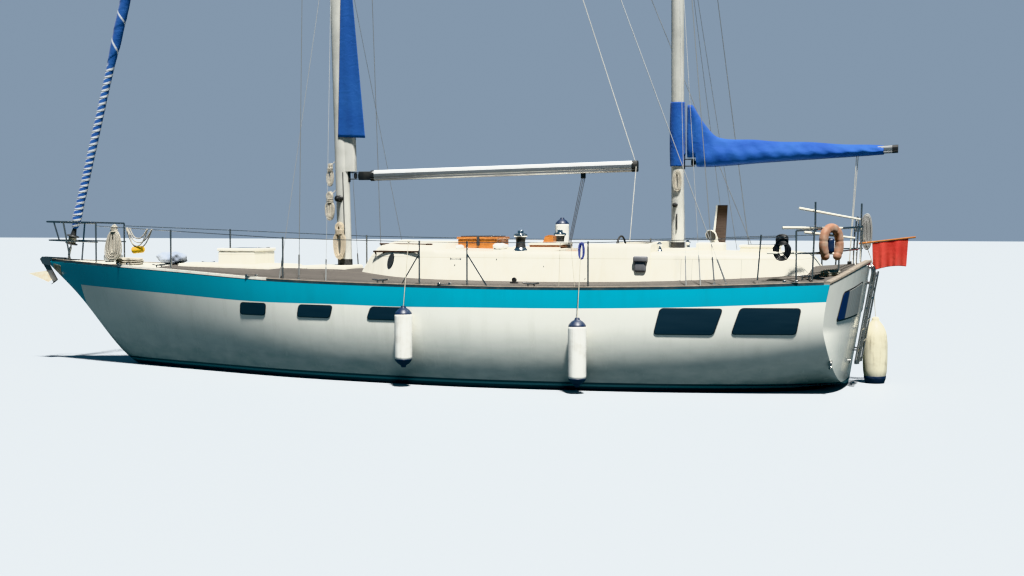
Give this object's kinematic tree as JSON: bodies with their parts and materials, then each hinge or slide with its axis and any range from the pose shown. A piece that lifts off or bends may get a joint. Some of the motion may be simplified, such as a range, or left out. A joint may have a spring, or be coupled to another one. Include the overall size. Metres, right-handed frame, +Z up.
{
  "type": "ketch-rigged sailing yacht",
  "caption": "Ketch-rigged cruising yacht afloat, its sails furled and covered, with a long trunk cabin, rails, fenders and a swim ladder.",
  "frame": {"origin": "on the centreline, at the waterline, amidships", "axes": "+X aft, +Y to starboard, +Z up; the mainmast is the longest extent"},
  "size_m": [13.6216, 4.0852, 18.86],
  "materials": {
    "gelcoat": "glossy painted laminate, lightly weathered",
    "antifouling": "matt bottom paint",
    "bronze": "smooth, lightly tarnished",
    "shaft_steel": "smooth",
    "deck_teak": "weathered planks",
    "rail_teak": "weathered, grey-brown",
    "mahogany": "varnished",
    "hatch_brown": "varnished, dull",
    "mast_paint": "satin, dirty in patches",
    "boom_alloy": "satin",
    "canvas_blue": "woven, sun-faded",
    "sail_blue": "woven, rolled",
    "furler_black": "matt",
    "stainless": "polished",
    "chrome": "polished",
    "galvanised": "dull zinc, stained",
    "windlass_grey": "satin",
    "vent_white": "moulded",
    "fender_white": "smooth vinyl, scuffed",
    "fender_cream": "smooth vinyl, stained",
    "buoy_orange": "coated cloth, faded",
    "flag_red": "woven",
    "rope_buff": "laid rope",
    "cable_black": "smooth"
  },
  "bodies": {
    "yacht": {"hull": "gelcoat", "keel": "antifouling", "skeg": "antifouling", "propeller_shaft": "shaft_steel", "deck": "deck_teak", "toe_rail_port": "rail_teak", "toe_rail_starboard": "rail_teak", "taffrail": "rail_teak", "foredeck_trunk": "gelcoat", "coachroof": "gelcoat", "cockpit": "gelcoat", "aft_cabin": "gelcoat", "skylight_frame": "mahogany", "mainmast": "mast_paint", "mizzen_mast": "mast_paint", "mizzen_cover_collar": "canvas_blue", "mainsail_clew": "canvas_blue", "forestay_foot": "stainless", "forestay_head": "stainless", "main_shroud_port": "stainless", "main_shroud_starboard": "stainless", "mizzen_shroud_port": "stainless", "mizzen_shroud_starboard": "stainless", "backstay_port": "stainless", "backstay_starboard": "stainless", "pulpit": "stainless", "lifeline_port": "stainless", "lifeline_starboard": "stainless", "stern_rail_port": "stainless", "stern_rail_starboard": "stainless", "stem_fitting": "stainless", "anchor": "galvanised", "windlass": "windlass_grey", "winch_port": "chrome", "winch_starboard": "chrome", "cowl_vent": "vent_white", "steering_pedestal": "vent_white", "ladder_fixed": "stainless", "fender_forward": "fender_white", "fender_aft": "fender_white", "fender_stern": "fender_cream", "fender_deck": "fender_white", "horseshoe_buoy": "buoy_orange", "flagstaff": "mahogany", "ensign": "flag_red", "rope_hank_mast": "rope_buff", "cable_hank_stern": "cable_black"},
    "rudder": {"rudder": "antifouling"},
    "propeller": {"propeller": "bronze"},
    "wheel": {"steering_wheel": "chrome"},
    "main_boom": {"main_boom": "boom_alloy"},
    "mizzen_boom": {"mizzen_boom": "boom_alloy", "mizzen_sail_cover": "canvas_blue"},
    "headsail": {"furled_headsail": "sail_blue", "furling_drum": "furler_black"},
    "forehatch": {"forehatch_lid": "gelcoat"},
    "skylight": {"skylight_lid": "mahogany"},
    "aft_hatch": {"aft_hatch_lid": "gelcoat"},
    "companionway": {"companionway_hatch": "hatch_brown"},
    "ladder": {"ladder_folding": "stainless"}
  },
  "joints": [
    {"name": "rudder_turn", "type": "hinge", "parent": "yacht", "child": "rudder", "pos_m": [4.98, 0, 0], "axis": [0, 0, 1], "range_deg": [-35, 35]},
    {"name": "wheel_turn", "type": "hinge", "parent": "yacht", "child": "wheel", "pos_m": [2.38, 0, 1.64], "axis": [1, 0, 0], "range_deg": [-540, 540]},
    {"name": "propeller_spin", "type": "hinge", "parent": "yacht", "child": "propeller", "pos_m": [3.985, 0, -0.65], "axis": [0.9902, 0, -0.1395], "continuous": true},
    {"name": "main_boom_swing", "type": "hinge", "parent": "yacht", "child": "main_boom", "pos_m": [-1.64, 0, 2.865], "axis": [0, 0, 1], "range_deg": [-75, 75]},
    {"name": "mizzen_boom_swing", "type": "hinge", "parent": "yacht", "child": "mizzen_boom", "pos_m": [3.385, 0, 3], "axis": [0, 0, 1], "range_deg": [-60, 60]},
    {"name": "headsail_furl", "type": "hinge", "parent": "yacht", "child": "headsail", "pos_m": [-6.566, 0, 1.618], "axis": [0.2618, 0, 0.9651], "continuous": true},
    {"name": "forehatch_open", "type": "hinge", "parent": "yacht", "child": "forehatch", "pos_m": [-3.752, 0, 1.7506], "axis": [0, -1, 0], "range_deg": [0, 100]},
    {"name": "skylight_open", "type": "hinge", "parent": "yacht", "child": "skylight", "pos_m": [0.046, 0, 1.9406], "axis": [0, -1, 0], "range_deg": [0, 75]},
    {"name": "aft_hatch_open", "type": "hinge", "parent": "yacht", "child": "aft_hatch", "pos_m": [4.07, 0, 1.8456], "axis": [0, -1, 0], "range_deg": [0, 100]},
    {"name": "companionway_slide", "type": "slide", "parent": "yacht", "child": "companionway", "axis": [-1, 0, 0], "range_m": [0, 0.45]},
    {"name": "ladder_fold", "type": "hinge", "parent": "yacht", "child": "ladder", "pos_m": [5.62535, 0, 0.33], "axis": [0, 1, 0], "range_deg": [0, 169]}
  ],
  "couplings": [
    {"joint": "wheel_turn", "follows": "rudder_turn", "ratio": 15.4}
  ]
}
